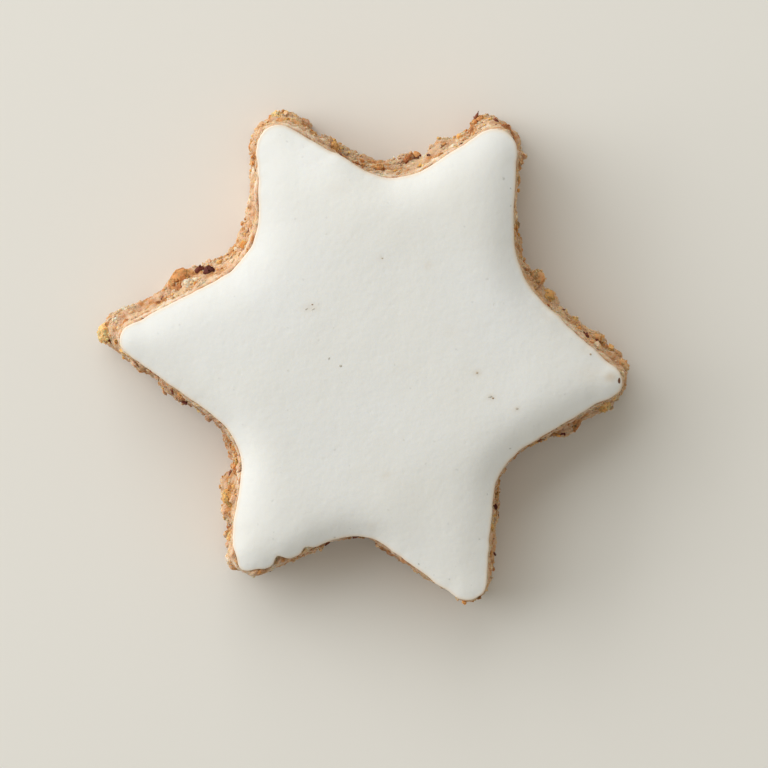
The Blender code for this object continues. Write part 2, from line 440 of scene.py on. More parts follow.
dough = {
    "columns": 1250,  # points round the side
    "rows": 62,  # rings up the side
    "bottomShares": (0.15, 0.35, 0.55, 0.72, 0.84, 0.92, 0.97),
    # each: size, relief, share of the tone, salt
    "grains": ((1.7, 0.26, 0.45, 11), (0.8, 0.20, 0.35, 23), (0.4, 0.12, 0.2, 37)),
    "swells": ((3.2, 0.22, 41), (1.2, 0.16, 43), (0.3, 0.05, 47)),  # size, relief, salt
    "flatness": 1.25,  # how many times wider than high a grain lies
    "sunkGrain": 0.1,  # how far below 0 the lowest grain lies, as a share of its relief
    "seamDip": 0.3,  # how far a seam dips, as a share of its grains' relief
    "inside": 0.86,  # share of the surface that stays within the solid
    "hollows": (0.25, 0.7),  # depths between which a hollow gets painted shade
    "collar": (4.8, 7.0),  # heights between which the relief eases off
    "collarRelief": 0.55,  # share of the relief left at the icing
    "streaks": ((0.35, 0.1, 53),),  # upright streaks in the collar: size, relief, salt
    "topCalm": 0.35,  # share of the relief that is gone at the very top
    "fullUpTo": 7.0,  # above this height the side keeps its width, but for the rounding
    "rounding": 0.12,  # mm in per mm^2 above that height
    "smear": (7.2, 7.9),  # heights between which thin smears of icing come in
    "smears": (1.5, 55),  # their size and salt
    "capShares": (0.985, 0.97, 0.955, 0.94, 0.9, 0.5),  # the top's rows, from edge to middle
    "capGrains": (0.7, 57),  # size and salt
    "capRelief": 0.18,
    # chips in the icing's edge, where the dough shows and stands up a little: their place, and
    # how wide and how deep they are
    "chips": (
        (-13.7, -20.0, 1.35, 0.6), (-11.1, -21.6, 1.4, 0.5), (-8.3, -20.9, 0.68, 1.2),
        (-5.8, -19.4, 0.6, 0.5),
    ),
    "chipFill": 0.55,
    "topGap": 0.03,  # between the dough's flat top and the icing's underside
    "bottomGrains": (1.3, 51),  # size and salt
    "bottomPits": 0.12,
    "peach": srgb(212, 178, 148),
    "brown": srgb(160, 106, 66),
    "orange": srgb(200, 144, 90),
    "gold": srgb(218, 182, 138),
    "cream": srgb(238, 222, 200),
    "skin": srgb(92, 42, 28),
    # painted shade: what the seams and hollows of the dough are darkened towards
    "deep": srgb(156, 106, 76),
    "icingSmear": srgb(238, 224, 202),
    # the tone: the grains' share of it, and what the fine and the wide noise are multiplied by
    # and what is added to them
    "grainShare": 0.75,
    "fineDrift": (0.42, -0.1),
    "wideDrift": (1.7, -0.86),
    # painted shade and browning: how much darker and browner each stretch of the side is made, mostly as
    # painted shade on the sides turned from the light and partly as browner baking, and how much paler,
    # as painted light, where the amount is negative: the angle in degrees at the middle of each stretch,
    # how many degrees it reaches, and the amount
    "paintedShadeAndBrowning": (
        (-159, 12, 1.1), (-88, 14, 0.75), (-28, 16, 0.5), (-115, 8, 0.3), (22, 14, -0.75),
        (46, 9, -0.6), (-58, 10, -0.65), (164, 14, 0.18), (88, 12, 0.2), (62, 9, 0.2),
        (0, 7, -0.5), (120, 8, 0.1),
    ),
    "shadeAndBrowningTint": (0.66, 0.61, 0.6, 1.0),  # what the colour is multiplied by where the painted shade and browning is whole
    "paintedLightColour": srgb(243, 201, 158),  # painted light: what the palest stretches tend to, and how far they do
    "paintedLightShare": 0.45,
    # places where the side bulges, or draws in: the angle in degrees and the height, then how
    # far the bulge reaches along the side and up it, and how far it stands out
    "bulges": (
        (69.8, 3.0, 1.5, 1.6, 1.1), (64.4, 2.4, 1.2, 1.6, 0.6), (0.5, 2.6, 1.5, 1.6, 0.65),
        (-2.5, 3.4, 1.0, 1.6, 0.3), (4.8, 2.6, 0.9, 1.4, 0.35), (18.2, 2.6, 1.1, 1.6, 0.45),
        (172.0, 2.4, 1.6, 1.6, 0.7), (-131.5, 3.4, 0.9, 1.4, 0.65), (-20.4, 3.2, 1.3, 1.8, 0.75),
        (51.9, 3.0, 0.8, 1.4, 0.5), (94.7, 3.6, 1.3, 2.4, -0.9), (99.8, 3.6, 0.9, 1.8, 0.55),
        (-73.0, 2.4, 1.8, 1.6, -0.45), (48.3, 3.0, 0.8, 1.6, -0.3), (74.4, 3.2, 0.7, 1.8, -0.35),
        (-174.4, 3.2, 1.0, 2.0, -0.4), (167.0, 2.6, 1.3, 1.6, 0.25), (-170.4, 3.0, 0.8, 1.6, 0.3),
        (-98.4, 4.0, 0.9, 2.2, 0.3), (-52.3, 2.4, 0.8, 1.6, -0.3), (-123.0, 3.0, 0.8, 1.6, 0.35),
        (-64.8, 3.0, 0.8, 1.6, 0.3), (151.5, 2.6, 1.0, 1.8, -0.5), (-86.0, 4.5, 1.0, 2.5, 0.3),
    ),
}

doughHeights, doughRings = ringLevels("dough")
icingHeights, icingRings = ringLevels("icing")
icingUnderside = icingHeights[0]


def makeDoughMaterial():
    material, tree, shader, place = startMaterial(
        "nutDough", roughness=0.85, specular=0.2, subsurface=0.5, scale=0.0009)
    fine = noiseNode(tree, place, scale=1800.0, detail=3.0)
    wide = noiseNode(tree, place, scale=520.0, detail=2.0)
    tone = mathNode(tree, "MULTIPLY", maskNode(tree, "grainTone"), dough["grainShare"])
    tone = mathNode(tree, "ADD", tone, mathNode(tree, "MULTIPLY_ADD", fine, *dough["fineDrift"]))
    drift = mathNode(tree, "MULTIPLY_ADD", wide, *dough["wideDrift"])
    colour = rampColours(tree, mathNode(tree, "ADD", tone, drift, clamp=True), (
        (0.0, dough["brown"]), (0.25, dough["orange"]), (0.5, dough["peach"]),
        (0.8, dough["gold"]), (1.0, dough["cream"])))
    colour = tint(tree, colour, maskNode(tree, "collar"), 0.3, dough["peach"])
    colour = addSpecks(tree, place, colour, dough["cream"], strength=0.35, perMetre=1300.0,
                       share=0.09, size=0.3, softness=0.7)
    colour = addSpecks(tree, place, colour, dough["skin"], strength=0.7, perMetre=900.0,
                       share=0.05, size=0.25, softness=0.4)
    # painted shade in the seams and hollows
    colour = tint(tree, colour, maskNode(tree, "paintedSeamShade"), 0.55, dough["deep"], "MULTIPLY")
    broken = mathNode(tree, "ADD", fine, 0.05)
    colour = tint(tree, colour, maskNode(tree, "smear"), broken, dough["icingSmear"])
    # painted shade and browning: stretches of the side turned from the light are darkened and browned,
    # and where the mask is negative they are made paler as painted light
    paintedShadeAndBrowning = maskNode(tree, "paintedShadeAndBrowning")
    colour = mixColour(tree, paintedShadeAndBrowning, colour, dough["shadeAndBrowningTint"], "MULTIPLY")
    colour = tint(tree, colour, paintedShadeAndBrowning, -dough["paintedLightShare"], dough["paintedLightColour"])
    finishShader(tree, shader, colour, place, grit=4200.0, pits=3000.0, pitDepth=0.6,
                 relief=0.00012, strength=0.8)
    return material


def doughSide():
    # the dough's bare side as rings of points: at each height the solid's two nearest level
    # rings are mixed, each as a distance from the centre at one set of angles. Near the top
    # the side draws in by no more than the rounding times the square of the way up
    middle = smoothLoop(doughRings[len(doughRings) // 2], dough["columns"])
    angles = np.arctan2(middle[:, 1], middle[:, 0])
    radii = np.array([radiusAt(smoothLoop(ring, 4 * dough["columns"]), angles)
                      for ring in doughRings])
    levels = np.array(doughHeights)
    heights = np.linspace(levels[0], levels[-1], dough["rows"])
    below = np.clip(np.searchsorted(levels, heights, side="right") - 1, 0, len(levels) - 2)
    share = ((heights - levels[below]) / (levels[below + 1] - levels[below]))[:, None]
    radius = radii[below] * (1 - share) + radii[below + 1] * share
    above = np.clip(heights - dough["fullUpTo"], 0, None)[:, None]
    full = radius[heights <= dough["fullUpTo"]][-1]
    radius = np.where(above > 0, np.maximum(radius, full - dough["rounding"] * above**2), radius)
    return roundRows(radius, angles, heights)


def nearestOn(side, angles, heights):
    # the row and column of the side's point nearest to each angle in degrees and height
    row = np.round(heights / doughHeights[-1] * (len(side) - 1)).clip(1).astype(int)
    return row, np.abs(degreesOff(degreesRound(side)[row], angles[:, None])).argmin(1)


def addBulges(side):
    # the side with its bulges, each standing out by its amount times a bell along the side and
    # a bell up it
    outward = gridNormals(side)
    outward[..., 2] = 0
    angles, heights = np.array(dough["bulges"]).T[:2]
    out = np.zeros(side.shape[:2])
    for middle, bulge in zip(side[nearestOn(side, angles, heights)], dough["bulges"]):
        angle, height, along, up, amount = bulge
        out += amount * bell(farFrom(side, *middle[:2]), along) * bell(side[..., 2] - height, up)
    return side + outward * out[..., None]


def paintedShadeAndBrowningAt(points):
    # how much painted shade and browning the side gets, and painted light where it is negative: the
    # stretches' amounts, each times a bell round it, added up
    around = degreesRound(points)
    return sum(amount * bell(degreesOff(around, angle), reach)
               for angle, reach, amount in dough["paintedShadeAndBrowning"])


def crumbRelief(points):
    # the relief of the crumb: packed grains of three sizes, each standing out by its own amount and
    # dipping at its seams, on slow swells of soft noise. The level that a given share of the surface lies
    # under counts as 0. Also the grains' tone, and how much painted shade a point gets by how deep in a
    # seam or hollow it is
    relief = layeredNoise(points, dough["swells"])
    tone = np.zeros(points.shape[:-1])
    seamShade = np.zeros(points.shape[:-1])
    squashed = points * (1.0, 1.0, dough["flatness"])
    for size, height, toneShare, salt in dough["grains"]:
        dome, seam, own = grains(squashed, size, salt)
        relief += height * (dome * (own - dough["sunkGrain"]) - dough["seamDip"] * seam)
        tone += toneShare * grainTones(own)
        seamShade = np.maximum(seamShade, seam * (0.4 + 0.35 * size))  # large grains' seams get darker painted shade
    relief -= np.quantile(relief, dough["inside"])
    hollow = ease(-relief, *dough["hollows"])
    return relief, tone, np.clip(seamShade * (0.4 + 0.6 * hollow) + 0.5 * hollow, 0, 1)


def doughBottom(foot):
    # the underside: the side's first ring drawn in to the middle, flat but for shallow pits between its
    # grains. Also its grains' tone, and how much painted shade its seams get
    shares = np.array(dough["bottomShares"])[:, None, None]
    bottom = foot * shares
    dome, seam, own = grains(bottom, *dough["bottomGrains"])
    pits = dough["bottomPits"] * np.clip(1 - dome + 0.6 * seam, 0, 1)
    bottom[..., 2] = pits * ease(1 - shares[..., 0], 0, 0.06)
    return bottom, grainTones(own), 0.6 * seam


def doughTop(shoulder):
    # the top: the side's last ring drawn in under the icing, lower between its grains, and standing up in
    # the chips. Also its grains' tone, and how much painted shade its seams get
    top = shoulder * np.array(dough["capShares"])[:, None, None]
    dome, seam, own = grains(top, *dough["capGrains"])
    top[..., 2] = icingUnderside - dough["topGap"] - dough["capRelief"] * (1 - dome + seam)
    for x, y, wide, deep in dough["chips"]:
        top[..., 2] += dough["chipFill"] * bell(farFrom(top, x, y), wide)
    return top, 0.3 + 0.6 * grainTones(own), 0.3 * seam


def makeDough():
    bare = addBulges(doughSide())
    height = bare[..., 2]
    relief, tone, seamShade = crumbRelief(bare)
    collar = ease(height, *dough["collar"])
    relief *= 1 - (1 - dough["collarRelief"]) * collar
    upright = bare * (1.0, 1.0, 0.25)  # noise of this is four times as tall as it is wide
    relief += collar * layeredNoise(upright, dough["streaks"])
    relief *= 1 - dough["topCalm"] * ease(height, *doughHeights[-2:])
    patches = softNoise(bare * (1.0, 1.0, 0.4), *dough["smears"])
    smear = ease(height, *dough["smear"]) * ease(patches, -0.5, 0.4)
    side = bare + gridNormals(bare) * relief[..., None]
    side[..., 2] = np.clip(side[..., 2], 0.0, doughHeights[-1])
    side[0, :, 2] = 0.0
    bottom, bottomTone, bottomSeam = doughBottom(side[0])
    top, topTone, topSeam = doughTop(side[-1])
    masks = {
        "grainTone": np.concatenate((bottomTone, tone, topTone)),
        "paintedSeamShade": np.concatenate((bottomSeam, seamShade * (1 - 0.5 * collar), topSeam)),
    }
    for label, mask in (("collar", collar), ("smear", smear), ("paintedShadeAndBrowning", paintedShadeAndBrowningAt(bare))):
        masks[label] = np.pad(mask, ((len(bottom), len(top)), (0, 0)))
    rows = np.concatenate((bottom, side, top))
    piece = addSkin("doughCrumb", rows, makeDoughMaterial(), masks)
    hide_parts("dough")
    return side, gridNormals(side)


doughSurface, doughNormals = makeDough()


# loose crumbs and bits of nut

bits = {
    "coarse": (3, 6),  # a small crumb's grid: rings between its poles, and points round it
    "fine": (9, 16),  # a large piece's grid
    "craggy": 0.32,  # how unevenly a small crumb is broken
    "crags": ((0.55, 0.26), (0.22, 0.14)),  # a large piece's crags: their size and their amount
    "sharp": 0.6,  # radians: edges steeper than this stay crisp
    "lean": (1.1, 1.5),  # how the heights lean towards the foot, as a beta distribution
    "tries": 6,  # places to choose from, for each crumb
    "cluster": (2.0, 81),  # a patch where crumbs gather: its width in mm, and its salt
    "gather": 2.2,  # how strongly they do
    "limits": (0.08, 0.9),  # the least and the greatest size of a small crumb
    "uneven": (0.8, 1.25),  # what each of its three sizes is multiplied by, at least and at most
    "sits": (-0.45, 0.3),  # how far out its middle lies, as a share of its thickness
    "toneSway": ((1.4, 0.36, 91),),  # slow changes of tone: size, amount, salt
    "toneSpread": 0.14,  # how far a small crumb's tone is from its neighbours'
    "dust": (9, 3),  # crumbs that cling to a placed piece: for each square mm, and more on each
    "dustSizes": (0.45, 1.1),
    "dustSpread": 0.15,  # how far their tones are from the piece's
    "sunk": 0.22,  # how far a placed piece's middle lies under the surface, as a share of it
    # the fine noise on a bit's tone: what it is multiplied by, and what is added
    "toneDrift": (1.3, -0.65),
}

# Each kind: how many small crumbs, and their length, width and thickness. A placed piece has
# its angle in degrees round the cookie and its height, then its size along the side, up it
# and out from it, and its tone from 0 to 1.
kinds = {
    "doughCrumbs": {
        "count": 1900, "size": (0.42, 0.34, 0.26), "spread": 0.45, "salt": 13, "placed": (),
    },
    "fineCrumbs": {
        "count": 2700, "size": (0.18, 0.16, 0.14), "spread": 0.3, "salt": 15, "placed": (),
    },
    "goldenCrumbs": {
        "count": 260, "size": (0.36, 0.3, 0.26), "spread": 0.4, "salt": 3,
        "colours": (srgb(190, 122, 60), srgb(224, 164, 94), srgb(240, 196, 136)),
        "subsurface": 0.6,
        "placed": (
            (175.0, 2.8, 2.2, 2.1, 2.0, 0.85), (176.3, 4.6, 0.6, 0.5, 0.5, 0.1),
            (140.2, 7.2, 0.4, 0.4, 0.3, 0.0), (-178.4, 3.9, 0.8, 0.7, 0.7, 0.15),
            (-140.0, 7.0, 1.6, 0.7, 0.5, 0.6), (-134.9, 4.2, 1.9, 1.8, 1.4, 0.35),
            (-132.5, 4.4, 1.0, 0.8, 0.8, 0.5), (109.8, 3.1, 1.3, 1.1, 1.0, 0.8),
            (108.1, 4.4, 0.8, 0.6, 0.5, 0.2), (98.4, 3.3, 1.7, 1.2, 0.9, 0.6),
            (70.9, 2.9, 0.6, 0.6, 0.5, 0.4), (62.3, 3.6, 0.7, 0.6, 0.5, 0.5),
            (40.3, 1.8, 0.6, 0.5, 0.45, 0.2), (18.3, 3.9, 1.4, 1.3, 1.1, 0.5),
            (10.0, 2.4, 0.9, 0.8, 0.7, 0.6), (-11.6, 4.3, 1.4, 1.3, 1.0, 0.6),
            (-42.8, 6.8, 0.7, 0.6, 0.6, 0.1), (-53.5, 5.6, 0.7, 0.6, 0.5, 0.5),
        ),
    },
    "brownCrumbs": {
        "count": 380, "size": (0.36, 0.3, 0.25), "spread": 0.45, "salt": 5,
        "colours": (srgb(148, 86, 44), srgb(208, 144, 84), srgb(226, 184, 136)),
        "subsurface": 0.5,
        "placed": (
            (172.2, 1.6, 0.8, 0.6, 0.5, 0.1), (157.6, 4.0, 2.8, 2.4, 1.6, 0.38),
            (159.2, 4.7, 0.9, 0.7, 0.6, 0.1), (-168.5, 6.6, 1.4, 1.1, 0.9, 0.35),
            (-164.3, 6.8, 0.7, 0.5, 0.4, 0.8), (-145.7, 4.7, 1.1, 1.0, 0.8, 0.35),
            (-130.9, 3.3, 0.7, 0.6, 0.4, 0.7), (106.1, 5.0, 1.5, 0.9, 0.5, 0.8),
            (103.5, 3.5, 0.9, 0.8, 0.5, 0.45), (99.1, 4.8, 0.7, 0.6, 0.4, 0.3),
            (93.0, 6.3, 1.0, 0.7, 0.6, 0.05), (86.1, 4.6, 1.5, 1.0, 0.8, 0.35),
            (78.4, 3.5, 1.2, 0.7, 0.6, 0.2), (69.9, 7.2, 0.6, 0.5, 0.4, 0.3),
            (67.6, 2.4, 0.6, 0.6, 0.4, 0.1), (66.9, 3.2, 1.2, 0.7, 0.5, 0.8),
            (63.9, 2.8, 1.2, 0.8, 0.6, 0.4), (58.6, 5.0, 1.2, 1.3, 0.8, 0.2),
            (51.6, 5.4, 0.5, 0.5, 0.5, 0.2), (49.7, 6.3, 0.5, 0.5, 0.4, 0.5),
            (25.3, 4.1, 1.9, 1.6, 1.3, 0.75), (4.6, 4.0, 1.2, 0.9, 0.9, 0.7),
            (2.8, 3.5, 1.0, 0.9, 0.8, 0.5), (-1.8, 3.8, 1.4, 1.1, 0.9, 0.8),
            (-18.7, 3.8, 0.7, 0.6, 0.5, 0.3), (-27.0, 3.9, 0.6, 0.5, 0.3, 0.8),
            (-46.7, 4.3, 0.7, 0.6, 0.5, 0.7), (-57.6, 6.6, 1.0, 0.6, 0.4, 0.4),
            (-64.4, 7.2, 0.8, 0.6, 0.5, 0.3), (-82.7, 7.0, 0.9, 0.7, 0.6, 0.4),
        ),
    },
    "almondBits": {
        "count": 45, "size": (0.34, 0.28, 0.22), "spread": 0.4, "salt": 7,
        "colours": (srgb(206, 174, 134), srgb(228, 206, 174), srgb(242, 230, 210)),
        "subsurface": 0.4,
        "placed": (
            (156.7, 5.1, 0.8, 0.7, 0.6, 0.6), (155.2, 5.1, 0.6, 0.5, 0.5, 0.5),
            (157.9, 5.4, 0.4, 0.35, 0.35, 0.4), (81.9, 3.1, 1.0, 0.9, 0.7, 0.0),
            (69.9, 3.0, 0.9, 0.7, 0.6, 0.0), (13.5, 5.2, 0.35, 0.35, 0.35, 0.6),
            (-3.4, 7.0, 1.1, 1.0, 0.6, 0.1),
        ),
    },
    "nutSkins": {
        "count": 130, "size": (0.42, 0.28, 0.1), "spread": 0.45, "salt": 9,
        "colours": (srgb(72, 24, 16), srgb(106, 44, 28), srgb(146, 84, 52)),
        "subsurface": 0.0,
        "placed": (
            (176.6, 2.9, 0.6, 0.5, 0.5, 0.6), (163.7, 4.0, 0.6, 0.4, 0.4, 0.8),
            (152.2, 4.2, 1.1, 1.2, 1.3, 0.45), (151.0, 5.0, 1.2, 1.3, 1.4, 0.1),
            (-176.2, 7.1, 1.0, 0.3, 0.25, 0.9), (-172.6, 7.2, 0.4, 0.35, 0.3, 0.4),
            (-166.1, 4.0, 1.0, 0.6, 0.6, 0.4), (-128.4, 3.9, 0.7, 0.3, 0.3, 0.9),
            (97.0, 7.2, 0.6, 0.3, 0.3, 0.6), (76.2, 3.0, 0.9, 0.5, 0.5, 0.7),
            (75.2, 2.8, 0.6, 0.5, 0.5, 0.4), (79.1, 4.2, 0.9, 0.25, 0.25, 0.8),
            (72.5, 4.9, 0.35, 0.35, 0.3, 0.5), (65.4, 2.2, 1.2, 0.35, 0.3, 0.8),
            (61.1, 3.8, 0.6, 0.5, 0.5, 0.5), (45.2, 7.2, 0.5, 0.45, 0.4, 0.5),
            (6.0, 5.2, 0.7, 0.5, 0.5, 0.6), (-4.9, 7.2, 0.6, 0.5, 0.4, 0.5),
            (-21.1, 4.6, 0.6, 0.5, 0.5, 0.3), (-23.0, 7.0, 0.6, 0.5, 0.45, 0.4),
            (-49.3, 3.8, 0.7, 0.6, 0.6, 0.4), (-56.9, 3.7, 0.4, 0.4, 0.4, 0.3),
            (-93.4, 7.2, 1.2, 0.35, 0.35, 0.7),
        ),
    },
}


def unitBall(rings, columns, twist=0.5):
    # a coarse ball: rings of points from pole to pole, each twisted a little, and its faces
    polar = np.linspace(0, np.pi, rings + 2)[1:-1, None]
    around = np.arange(columns)[None, :] * fullTurn / columns + polar * twist
    rows = roundRows(np.sin(polar), around, -np.cos(polar[:, 0]))
    return np.vstack((rows.reshape(-1, 3), (0, 0, -1), (0, 0, 1))), closedSkin(rings, columns)


def bitAxes(normals, turns, guide=(0.0, 0.0, 1.0)):
    # for each bit, three axes: its thickness along the normal, and its length, turned about
    # that normal from the direction square to it and to the guide
    side = np.cross(normals, guide)
    side /= np.linalg.norm(side, axis=-1, keepdims=True)
    rise = np.cross(normals, side)
    length = side * np.cos(turns)[:, None] + rise * np.sin(turns)[:, None]
    return np.stack((length, np.cross(normals, length), normals), axis=1)


def coarseBits(centres, axes, sizes, random):
    # small crumbs: each ball's points are pushed in or out by their own random amounts, then
    # stretched to the crumb's size and turned to its axes
    ball, faces = unitBall(*bits["coarse"])
    push = 1 + bits["craggy"] * random.uniform(-1, 1, (len(centres), len(ball), 1))
    points = np.einsum("nvi,nij->nvj", ball * push * sizes[:, None, :] / 2, axes)
    return points + centres[:, None, :], faces


def fineBits(centres, axes, sizes, salt):
    # large pieces: a ball whose points are pushed by soft noise of two sizes, so that it has
    # broken facets and small crags
    ball, faces = unitBall(*bits["fine"])
    points = np.einsum("nvi,nij->nvj", ball * sizes[:, None, :] / 2, axes)
    layers = [(size, amount, salt + step) for step, (size, amount) in enumerate(bits["crags"])]
    push = 1 + layeredNoise(points + centres[:, None, :], layers)
    return centres[:, None, :] + points * push[..., None], faces


def scatterPlaces(count, random):
    # rows and columns for crumbs: more in patches where soft noise is high, and more towards
    # the foot than under the icing
    rows, columns = doughSurface.shape[:2]
    tries = bits["tries"] * count
    row = 1 + ((rows - 3) * random.beta(*bits["lean"], tries)).astype(int)
    column = random.integers(0, columns, tries)
    patch = softNoise(doughSurface[row, column] * (1.0, 1.0, 0.6), *bits["cluster"])
    weight = np.exp(bits["gather"] * patch)
    chosen = random.choice(tries, count, replace=False, p=weight / weight.sum())
    return row[chosen], column[chosen]


def placedBits(kind):
    # the centres, axes, sizes and tones of a kind's placed pieces, sunk in the side
    angles, heights, lengths, widths, depths, tones = np.array(kind["placed"]).T
    row, column = nearestOn(doughSurface, angles, heights)
    normals = doughNormals[row, column]
    sizes = np.column_stack((lengths, widths, depths))
    centres = doughSurface[row, column] - normals * (depths * bits["sunk"])[:, None]
    return centres, bitAxes(normals, np.zeros(len(angles))), sizes, tones


def scatteredBits(kind, random):
    # the centres, normals, sizes and tones of a kind's scattered crumbs
    count = kind["count"]
    row, column = scatterPlaces(count, random)
    normals = doughNormals[row, column]
    sizes = np.array(kind["size"]) * np.exp(random.normal(0, kind["spread"], (count, 1)))
    sizes = np.clip(sizes, *bits["limits"]) * random.uniform(*bits["uneven"], (count, 3))
    out = sizes[:, 2:] * random.uniform(*bits["sits"], (count, 1))
    centres = doughSurface[row, column] + normals * out
    tones = 0.5 + layeredNoise(centres, bits["toneSway"])
    tones += random.uniform(-bits["toneSpread"], bits["toneSpread"], count)
    return centres, normals, sizes, tones


def clingingBits(kind, homes, axes, spans, tones, random):
    # the same for the crumbs that cling to its placed pieces: more on the larger ones, and
    # more on the side that faces out
    perArea, least = bits["dust"]
    count = np.round(perArea * spans[:, 0] * spans[:, 1]).astype(int) + least
    owner = np.repeat(np.arange(len(homes)), count)
    way = random.normal(0, 1, (len(owner), 3)) + (0, 0, 0.5)
    way /= np.linalg.norm(way, axis=1, keepdims=True)
    centres = homes[owner] + np.einsum("ni,nij->nj", way * spans[owner] / 2, axes[owner])
    sizes = np.array(kind["size"]) * random.uniform(*bits["dustSizes"], (len(owner), 1))
    spread = random.uniform(-bits["dustSpread"], bits["dustSpread"], len(owner))
    return centres, way, sizes, tones[owner] + spread


def joinBits(*lots):
    # lots of bits as one list of points, one of faces and one of tones: each lot has its balls
    # of points, the faces of one ball, and a tone for each ball
    points, faces, tones, total = [], [], [], 0
    for (balls, ballFaces), ballTones in lots:
        for number in range(len(balls)):
            faces += [[index + total for index in face] for face in ballFaces]
            total += balls.shape[1]
        points.append(balls.reshape(-1, 3))
        tones.append(np.repeat(ballTones, balls.shape[1]))
    return np.vstack(points), faces, np.concatenate(tones)


def makeBitMaterial(name, kind):
    material, tree, shader, place = startMaterial(
        name, roughness=0.65, specular=0.35, subsurface=kind["subsurface"], scale=0.0008)
    noise = noiseNode(tree, place, scale=1300.0, detail=4.0)
    drift = mathNode(tree, "MULTIPLY_ADD", noise, *bits["toneDrift"])
    tone = mathNode(tree, "ADD", maskNode(tree, "tone"), drift, clamp=True)
    low, middle, high = kind["colours"]
    colour = rampColours(tree, tone, ((0.0, low), (0.5, middle), (1.0, high)))
    finishShader(tree, shader, colour, place, grit=5000.0, pits=4000.0, pitDepth=0.3,
                 relief=0.00008, strength=0.7)
    return material


def makeBits(name, kind):
    # one kind's small crumbs, scattered and clinging to its placed pieces, and those pieces
    random = np.random.default_rng(kind["salt"])
    small = scatteredBits(kind, random)
    large = []
    if kind["placed"]:
        homes, axes, spans, largeTones = placedBits(kind)
        dust = clingingBits(kind, homes, axes, spans, largeTones, random)
        small = [np.concatenate(pair) for pair in zip(small, dust)]
        large = [(fineBits(homes, axes, spans, kind["salt"]), largeTones)]
    centres, normals, sizes, tones = small
    axes = bitAxes(normals, random.uniform(0, np.pi, len(centres)))
    points, faces, tone = joinBits((coarseBits(centres, axes, sizes, random), tones), *large)
    points[:, 2] = np.clip(points[:, 2], 0.0, None)
    if "colours" in kind:
        material = makeBitMaterial(name, kind)
        masks = {"tone": tone}
    else:
        material = bpy.data.materials["nutDough"]
        none = np.zeros(len(tone))
        masks = {"grainTone": tone, "paintedSeamShade": none, "collar": none, "smear": none,
                 "paintedShadeAndBrowning": paintedShadeAndBrowningAt(points)}
    addPiece(name, points, faces, material, masks, bits["sharp"])


for kindName, kindValues in kinds.items():
    makeBits(kindName, kindValues)


# the icing

icing = {
    "columns": 900,
    "insets": (0.015, 0.05, 0.1, 0.15, 0.25, 0.42, 0.65, 0.95, 1.3),  # the top's first rows
    "shares": 80,  # rows from there to the middle
    "crowding": 0.9,  # below 1, those rows stand closer near the edge
    "undersideShares": (0.3, 0.7, 0.94, 1.0),
    "rimWidth": 0.08,  # the rounded rim: how wide it is and how far it rises
    "rimRise": 0.05,
    "soften": (0.4, 1.6),  # how far in the smooth distance takes over from the plain one
    "shoulderReach": 2.34,
    "shoulderBulge": 0.15,  # per mm
    "shoulderRise": 1.36,
    # each arm: its direction in degrees, and how much lower its end lies
    "arms": ((-5, 0.2), (59, 0.9), (113, 1.7), (175, 1.3), (239, 0.7), (295, 1.7)),
    "armWidth": 22.0,  # degrees
    "armFrom": 9.0,  # mm from the middle
    "armSpan": 17.0,
    "foot": 0.03,  # how far its foot spreads beyond the rim
    "chipWall": 0.06,  # how far in from a chip's edge its wall ends
    # places where the top lies lower, or higher where the share is negative: their middle, how
    # far they reach, and the share of the rise
    "slack": (
        (-12.5, 10.8, 8.0, 0.3), (0.5, -17.8, 3.5, -0.25), (-7.0, -19.3, 2.6, -0.3),
        (-20.6, 2.2, 3.5, -0.12), (17.5, -4.5, 3.5, -0.1), (13.0, 15.5, 3.5, -0.06),
    ),
    "paintedLightAt": (-5.5, 20.8),  # where a patch of painted light on the icing is brightest: its colour is whiter there
    "paintedLightReach": 4.1,
    # stains: place, reach along and across, turn in degrees, and strength
    "stains": (
        (-5.4, 5.45, 0.85, 0.5, 15, 0.2), (11.2, -1.1, 0.4, 0.35, 0, 0.3),
        (12.6, -3.55, 0.45, 0.35, 0, 0.25), (15.2, -4.7, 0.35, 0.3, 0, 0.2),
        (2.1, -11.4, 0.6, 0.45, 40, 0.14), (1.6, 10.4, 0.5, 0.35, 0, 0.13),
        (6.3, 9.7, 0.5, 0.4, 50, 0.13), (0.5, -16.6, 0.4, 0.35, 0, 0.12),
        (-3.0, 17.4, 0.9, 0.6, 0, 0.07), (8.5, 3.0, 1.0, 0.6, 0, 0.06),
        (24.6, -1.6, 0.6, 0.5, 0, 0.5), (22.6, -1.3, 1.3, 0.9, 0, 0.13),
        (-12.2, 12.4, 0.6, 0.4, 60, 0.15), (22.2, 1.1, 0.7, 0.4, -40, 0.15),
        (18.2, 4.4, 0.6, 0.3, -40, 0.15),
    ),
    "stray": ((2.3, 0.1, 71), (0.9, 0.06, 72)),  # of the edge from its line: size, amount, salt
    "waves": ((7.0, 0.045, 61), (3.1, 0.0225, 62)),  # on the top: size, amount, salt
    "wavesFrom": (0.4, 3.0),  # how far in they start and are whole
    "rimBelt": 1.3,  # how far in from the edge there are more specks
    "rimTint": 0.2,  # how far in from the edge the dough shows through
    "edgeTint": 0.7,  # how much it does at the very edge
    "white": srgb(234, 235, 234),
    "warm": srgb(233, 231, 223),
    "paintedLightPatch": srgb(249, 249, 245),
    # painted light: the whiter colour of that patch
    "stain": srgb(204, 178, 140),
    "rim": srgb(233, 219, 201),
    "greySpeck": srgb(150, 150, 140),
    "tanSpeck": srgb(196, 160, 118),
    "greyStrength": 0.2,  # of the finest specks, and what the belt adds to it
    "greyInBelt": 0.45,
    "ripple": 1.6,  # how much higher the slow ripples are than the grit
}


